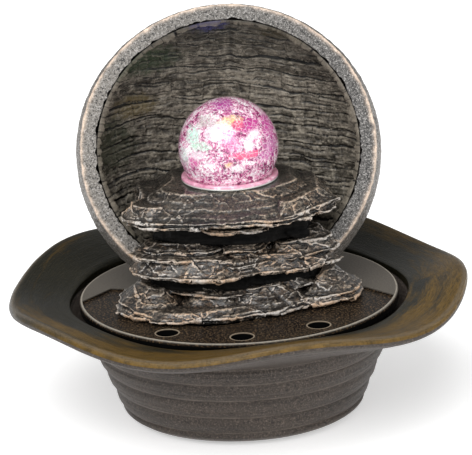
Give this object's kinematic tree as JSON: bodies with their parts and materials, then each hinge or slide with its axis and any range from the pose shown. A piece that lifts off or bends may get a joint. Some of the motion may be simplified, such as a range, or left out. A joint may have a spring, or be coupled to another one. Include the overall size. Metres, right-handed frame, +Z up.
{
  "type": "tabletop water fountain",
  "caption": "Tabletop fountain: wavy-rimmed basin, slate cascade ledges and a lit glass ball turning on a water cup inside a hollow moon-shaped shell.",
  "frame": {"origin": "on the resting surface, under the centre of the basin", "axes": "+Z up, -Y out of the front of the alcove, +X to the viewer's right"},
  "size_m": [0.301, 0.301, 0.2673],
  "materials": {
    "basin_resin": "cast resin, dark bronze brown with brushed golden streaks on the rim and fine speckle on the bowl",
    "deck_resin": "cast resin, grey bronze with fine speckle, wet in the front tray",
    "shell_resin": "cast resin, hammered grey taupe with silver flecks and a lighter worn edge",
    "wall_slate": "cast slate, dark olive brown strata, satin wet",
    "ledge_slate": "cast slate, near black and wet, with copper and pale dry-brushed edges",
    "core_slate": "cast slate, black and wet",
    "crackle_glass": "crackle glass, lit pink from below with white and green facets",
    "cup_acrylic": "clear acrylic, lit pink from below",
    "clear_acrylic": "clear polished acrylic",
    "clear_hose": "translucent soft vinyl",
    "lamp_plastic": "white gloss",
    "circuit_board": "green solder mask",
    "led_emitter": "lit emitter",
    "black_rubber": "matt black rubber",
    "pump_plastic": "fine-textured black plastic",
    "slider_plastic": "dark grey plastic",
    "impeller_plastic": "white moulded plastic",
    "stator_steel": "laminated steel",
    "copper_winding": "enamelled copper wire",
    "potting_resin": "black cast epoxy",
    "white_ceramic": "ground white ceramic",
    "magnet_ferrite": "dark grey sintered ferrite",
    "screw_steel": "zinc-free stainless"
  },
  "bodies": {
    "basin": {"basin": "basin_resin", "foot_pads": "black_rubber", "cable_grommet": "black_rubber", "deck_pads": "black_rubber", "suction_cups": "black_rubber", "pump_housing": "pump_plastic", "stator_core": "stator_steel", "stator_coil": "copper_winding", "pump_potting": "potting_resin", "rotor_shaft": "white_ceramic", "shaft_bushes": "black_rubber", "volute_cover": "pump_plastic", "pump_cable_gland": "black_rubber"},
    "cascade": {"deck": "deck_resin", "shell_screws": "screw_steel", "moon_shell": "shell_resin", "slate_wall": "wall_slate", "lower_ledge": "ledge_slate", "core_lower": "core_slate", "middle_ledge": "ledge_slate", "core_upper": "core_slate", "upper_ledge": "ledge_slate", "riser_hose": "clear_hose", "light_housing": "lamp_plastic", "light_board": "circuit_board", "leds": "led_emitter", "light_lens": "clear_acrylic", "ball_cup": "cup_acrylic"},
    "ball": {"glass_ball": "crackle_glass"},
    "rotor": {"impeller": "impeller_plastic", "rotor_magnet": "magnet_ferrite"},
    "intake": {"intake_cover": "pump_plastic"},
    "slider": {"flow_slider": "slider_plastic"}
  },
  "joints": [
    {"name": "cascade_lift", "type": "slide", "parent": "basin", "child": "cascade", "axis": [0, 0, 1], "range_m": [0, 0.12]},
    {"name": "ball_spin", "type": "hinge", "parent": "cascade", "child": "ball", "pos_m": [-0.0025, -0.005, 0.1805], "axis": [0, 0, 1], "continuous": true},
    {"name": "rotor_spin", "type": "hinge", "parent": "basin", "child": "rotor", "pos_m": [-0.0025, 0, 0.029], "axis": [0, 1, 0], "continuous": true},
    {"name": "intake_slide", "type": "slide", "parent": "basin", "child": "intake", "axis": [0, -1, 0], "range_m": [0, 0.015]},
    {"name": "flow_adjust", "type": "slide", "parent": "intake", "child": "slider", "axis": [1, 0, 0], "range_m": [0, 0.01]}
  ]
}
